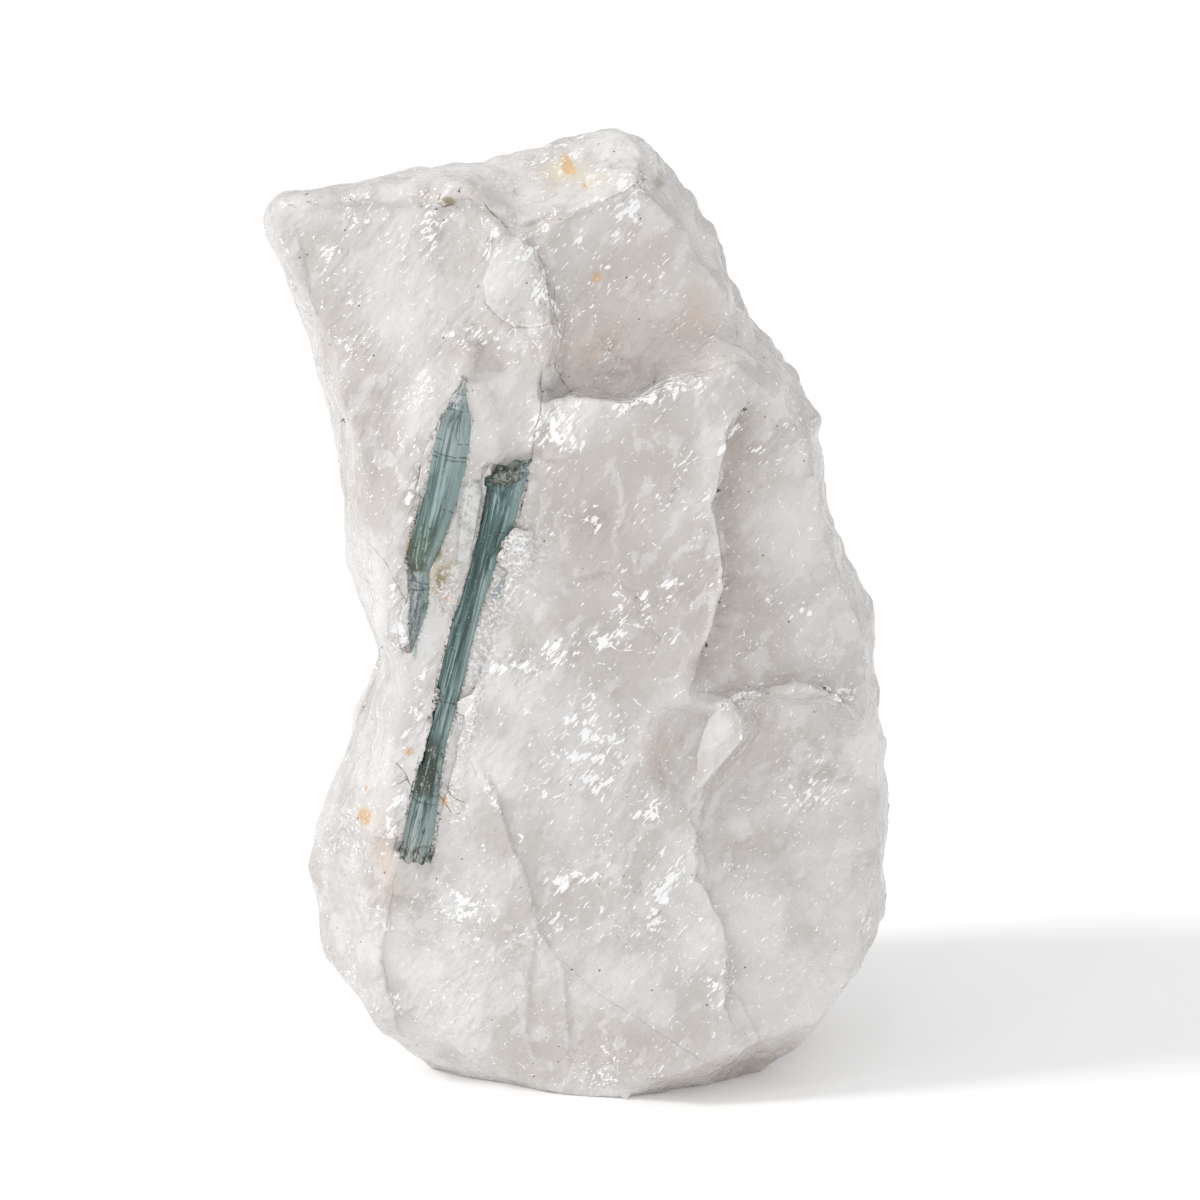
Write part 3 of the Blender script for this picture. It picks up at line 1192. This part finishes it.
def quartz_color(tree, place):
    """Clouds of milk and clearer grey, then the stains, the cracks and the specks."""
    bent = noise_bend(tree, place, 6.0, 2.5)
    clouds = noise_value(tree, bent, 16.0, 3.0, 0.5)
    color = blend(tree, stretch(tree, clouds, 0.38, 0.66), QUARTZ_WHITE, QUARTZ_MILK)
    depths = noise_value(tree, bent, 10.0, 3.0, 0.5)
    color = tinted(tree, color, QUARTZ_GREY, depths, 0.46, 0.70, 0.5)
    color = blend(tree, times(tree, attribute(tree, "warm"), 0.9), color, QUARTZ_WARM)
    veils = noise_value(tree, slanting(tree, bent, 30.0, 2.0), 3.0, 3.0, 0.5)
    color = tinted(tree, color, QUARTZ_MILK, veils, 0.52, 0.62, 0.6)
    mottled = stretch(tree, noise_value(tree, place, 3.0, 3.0, 0.6), 0.3, 0.7, 0.75, 1.2)
    for name, tint, low, high in TINTS:
        cover = times(tree, attribute(tree, name), mottled)
        color = tinted(tree, color, tint, cover, low, high, 0.85)
    color = flake_tint(tree, place, color)
    grains = stretch(tree, noise_value(tree, place, 0.6, 2.0), 0.50, 0.58)
    color = blend(tree, times(tree, grains, attribute(tree, "grainy")), color, FLECK_WHITE)
    return specks(tree, place, cracks(tree, place, flecks(tree, place, color)))


def flake_tint(tree, place, color):
    """The raised flakes are milkier, with a pale rim and a shade outside it."""
    jitter = stretch(tree, noise_value(tree, place, 0.8, 2.0), 0.3, 0.7, -1.2, 1.2)
    inside = plus(tree, attribute(tree, "inside_flake"), jitter)
    shade = times(tree, stretch(tree, inside, -9.0, -0.5), stretch(tree, inside, 0.6, -0.4))
    color = blend(tree, times(tree, shade, 0.3), color, QUARTZ_BEIGE)
    color = tinted(tree, color, QUARTZ_MILK, inside, -0.4, 0.8, 0.15)
    rim = times(tree, stretch(tree, inside, -0.4, 0.5), stretch(tree, inside, 2.4, 1.2))
    return blend(tree, times(tree, rim, 0.2), color, FLECK_WHITE)


# The dashes of the flecks: their lean in degrees, their size in millimetres, and how high the noise
# stands where one shows.
DASHES = ((44.0, 0.43, 0.715), (36.0, 0.95, 0.765))


def flecks(tree, place, color):
    """White marks where small breaks inside catch the light: slanting dashes in clusters, and
    broken lines along the edges of chips."""
    patches = stretch(tree, noise_value(tree, place, 9.0, 2.0, 0.5), 0.52, 0.72, 0.0, 0.5)
    clusters = stretch(tree, noise_value(tree, place, 2.2, 2.0, 0.5), 0.40, 0.60, 0.15, 1.0)
    glassy = times(tree, attribute(tree, "glassy"), 1.25)
    patches = times(tree, calculate(tree, "MAXIMUM", patches, glassy), clusters)
    for lean, size, most in DASHES:
        dashes = noise_value(tree, slanting(tree, place, lean, 3.8), size, 1.5, 0.5)
        over = minus(tree, dashes, minus(tree, most, times(tree, patches, 0.29)))
        color = tinted(tree, color, FLECK_WHITE, over, 0.0, 0.025)
    bent = noise_bend(tree, place, 5.0, 1.2)
    rims = add(tree, "TexVoronoi", {"Vector": bent, "Scale": 0.17}, feature="DISTANCE_TO_EDGE")
    width = stretch(tree, noise_value(tree, place, 0.9, 2.0), 0.54, 0.70, 0.0, 0.045)
    width = times(tree, width, plus(tree, patches, 0.35))
    line = minus(tree, width, rims.outputs["Distance"])
    return tinted(tree, color, FLECK_WHITE, line, -0.002, 0.006)


def noise_bend(tree, place, wavelength, reach):
    """Coordinates pushed about a little, so that shapes in them are uneven."""
    made = add(tree, "TexNoise", {"Vector": place, "Scale": 1.0 / wavelength, "Detail": 2.0})
    made = add(tree, "VectorMath", {0: made.outputs["Color"], 1: (0.5, 0.5, 0.5)},
               operation="SUBTRACT")
    made = add(tree, "VectorMath", {0: made.outputs["Vector"], "Scale": reach * 2.0},
               operation="SCALE")
    made = add(tree, "VectorMath", {0: place, 1: made.outputs["Vector"]}, operation="ADD")
    return made.outputs["Vector"]


def cracks(tree, place, color):
    """Thin brown broken lines along the cracks, and brown dirt beside the crystals."""
    jitter = times(tree, minus(tree, noise_value(tree, place, 0.5, 2.0), 0.5), 2.2)
    away = calculate(tree, "ABSOLUTE", plus(tree, attribute(tree, "crack"), jitter))
    broken = stretch(tree, noise_value(tree, place, 2.6, 3.0, 0.65), 0.36, 0.58, 0.15, 1.0)
    line = times(tree, stretch(tree, away, 1.1, 0.2), broken)
    color = blend(tree, times(tree, line, attribute(tree, "crack_depth")), color, CRACK_BROWN)
    fringe = stretch(tree, noise_value(tree, place, 0.55, 2.0, 0.6), 0.50, 0.60)
    fringe = times(tree, fringe, attribute(tree, "fringe"))
    return blend(tree, times(tree, fringe, 0.6), color, CRACK_BROWN)


def specks(tree, place, color):
    """Fine black dots, only some of them large enough to show."""
    grains = add(tree, "TexVoronoi", {"Vector": place, "Scale": 0.45, "Randomness": 1.0})
    size = add(tree, "SeparateColor", {"Color": grains.outputs["Color"]})
    reach = stretch(tree, size.outputs[0], 0.35, 1.0, 0.0, 0.085)
    dots = calculate(tree, "LESS_THAN", grains.outputs["Distance"], reach)
    return blend(tree, times(tree, dots, 0.85), color, SPECK_BLACK)


def quartz_normals(tree, place):
    """Low waves, coarse grains, small shell-shaped chips and short slanting steps that glint."""
    patches = stretch(tree, noise_value(tree, place, 9.0, 2.0), 0.45, 0.7, 0.17, 0.50)
    patches = plus(tree, patches, times(tree, attribute(tree, "glassy"), 0.7))
    slanted = slanting(tree, place, 40.0, 2.8)
    chips = add(tree, "TexVoronoi", {"Vector": slanted, "Scale": 0.75}).outputs["Distance"]
    waves = noise_value(tree, place, 1.3, 3.0, 0.55)
    steps = noise_value(tree, slanted, 0.7, 2.0, 0.5)
    grains = times(tree, noise_value(tree, place, 0.6, 2.0), attribute(tree, "grainy"))
    normals = bumped(tree, grains, 0.8, bumped(tree, waves, 0.30))
    normals = bumped(tree, times(tree, chips, patches), 0.75, normals)
    return bumped(tree, times(tree, steps, patches), 0.45, normals)


# The ragged ends of the crystals are the same in each run only with a seed for the noise vectors.
NOISE_SEED = 5

noise.seed_set(NOISE_SEED)
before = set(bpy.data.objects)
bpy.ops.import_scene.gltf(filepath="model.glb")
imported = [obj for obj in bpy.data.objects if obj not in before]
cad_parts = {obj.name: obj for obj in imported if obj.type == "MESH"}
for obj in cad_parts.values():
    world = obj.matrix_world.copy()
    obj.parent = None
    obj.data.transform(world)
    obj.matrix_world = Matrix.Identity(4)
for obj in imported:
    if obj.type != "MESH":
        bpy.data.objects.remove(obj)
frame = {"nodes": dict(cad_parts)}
cad_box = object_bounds()
make_camera()
make_lights()
make_floor()
make_quartz(frame)
make_crystals()
make_grains()
